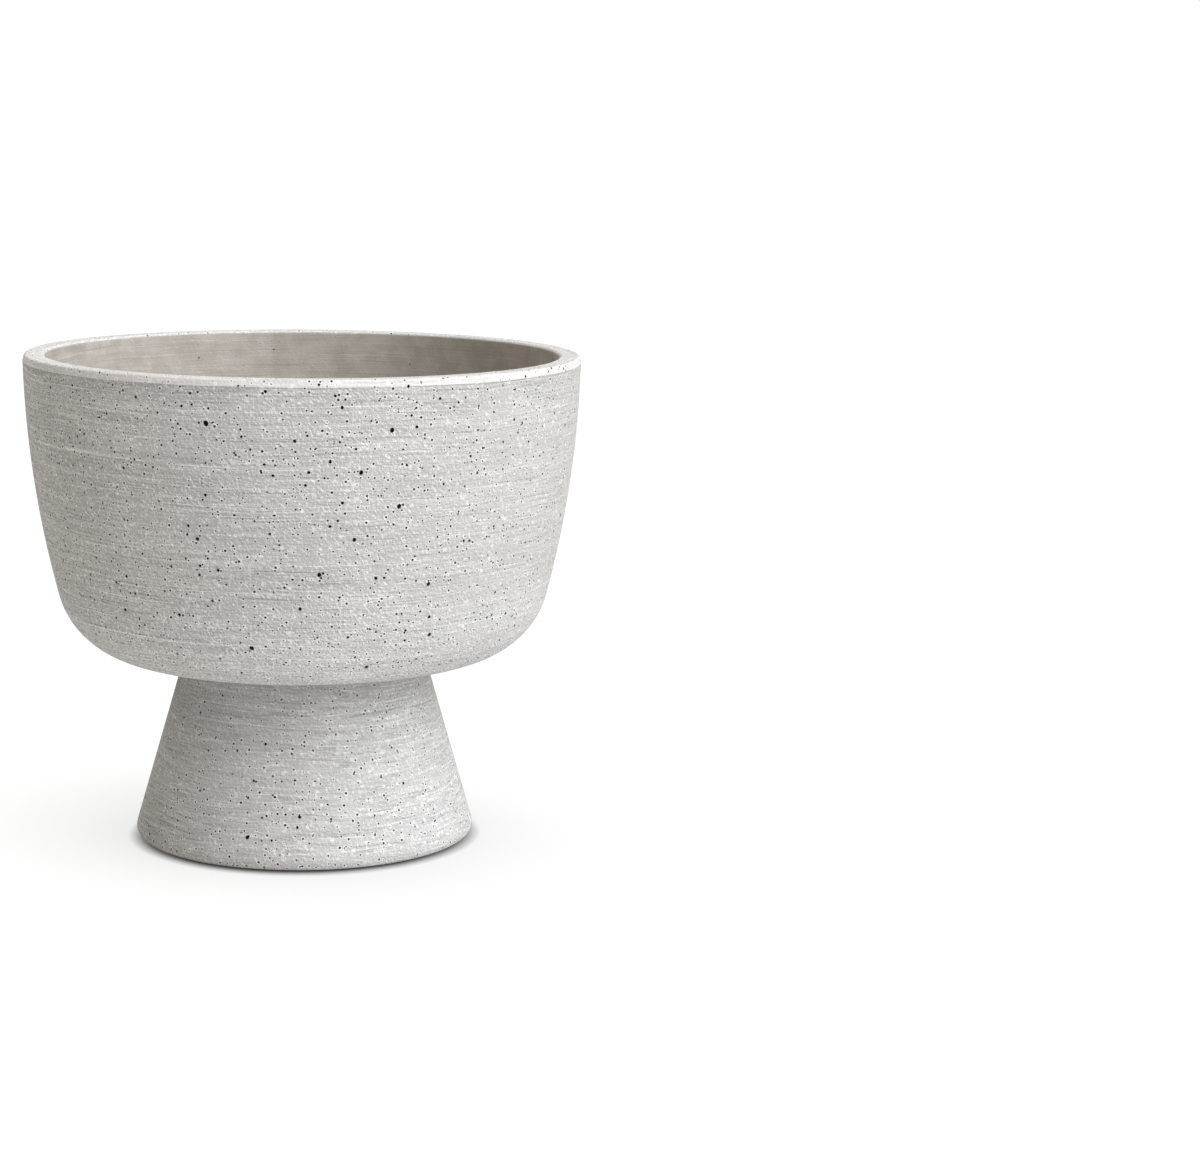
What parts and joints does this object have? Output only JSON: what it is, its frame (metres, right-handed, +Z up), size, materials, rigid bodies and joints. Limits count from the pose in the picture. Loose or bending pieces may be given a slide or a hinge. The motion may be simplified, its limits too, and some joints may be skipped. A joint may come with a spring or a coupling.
{
  "type": "pedestal planter bowl",
  "caption": "Deep round concrete planter bowl with a closed floor, bedded and bolted on a hollow conical pedestal that stands on thin pads.",
  "frame": {"origin": "centre of the footprint, on the ground under the foot pads", "axes": "+Z up, along the axis of the bowl and the pedestal; one bolt lies towards +Y"},
  "size_m": [0.4, 0.4, 0.355],
  "materials": {
    "bowl_concrete": "matt cast concrete, warm light grey, fine level striations and small open pores",
    "pedestal_concrete": "matt cast concrete, slightly cooler grey, fine level striations and a few small pores",
    "mortar": "rough grey mortar",
    "brass": "plain turned brass",
    "bolt_steel": "stainless steel, satin",
    "washer_steel": "stainless steel, satin",
    "spring_steel": "stainless steel, satin",
    "rubber": "black rubber, matt"
  },
  "bodies": {
    "root": {"bowl": "bowl_concrete", "pedestal": "pedestal_concrete", "bedding": "mortar", "insert_1": "brass", "insert_2": "brass", "insert_3": "brass", "bolt_1": "bolt_steel", "bolt_2": "bolt_steel", "bolt_3": "bolt_steel", "flat_washer_1": "washer_steel", "flat_washer_2": "washer_steel", "flat_washer_3": "washer_steel", "spring_washer_1": "spring_steel", "spring_washer_2": "spring_steel", "spring_washer_3": "spring_steel", "foot_pad_1": "rubber", "foot_pad_2": "rubber", "foot_pad_3": "rubber", "foot_pad_4": "rubber"}
  },
  "joints": []
}
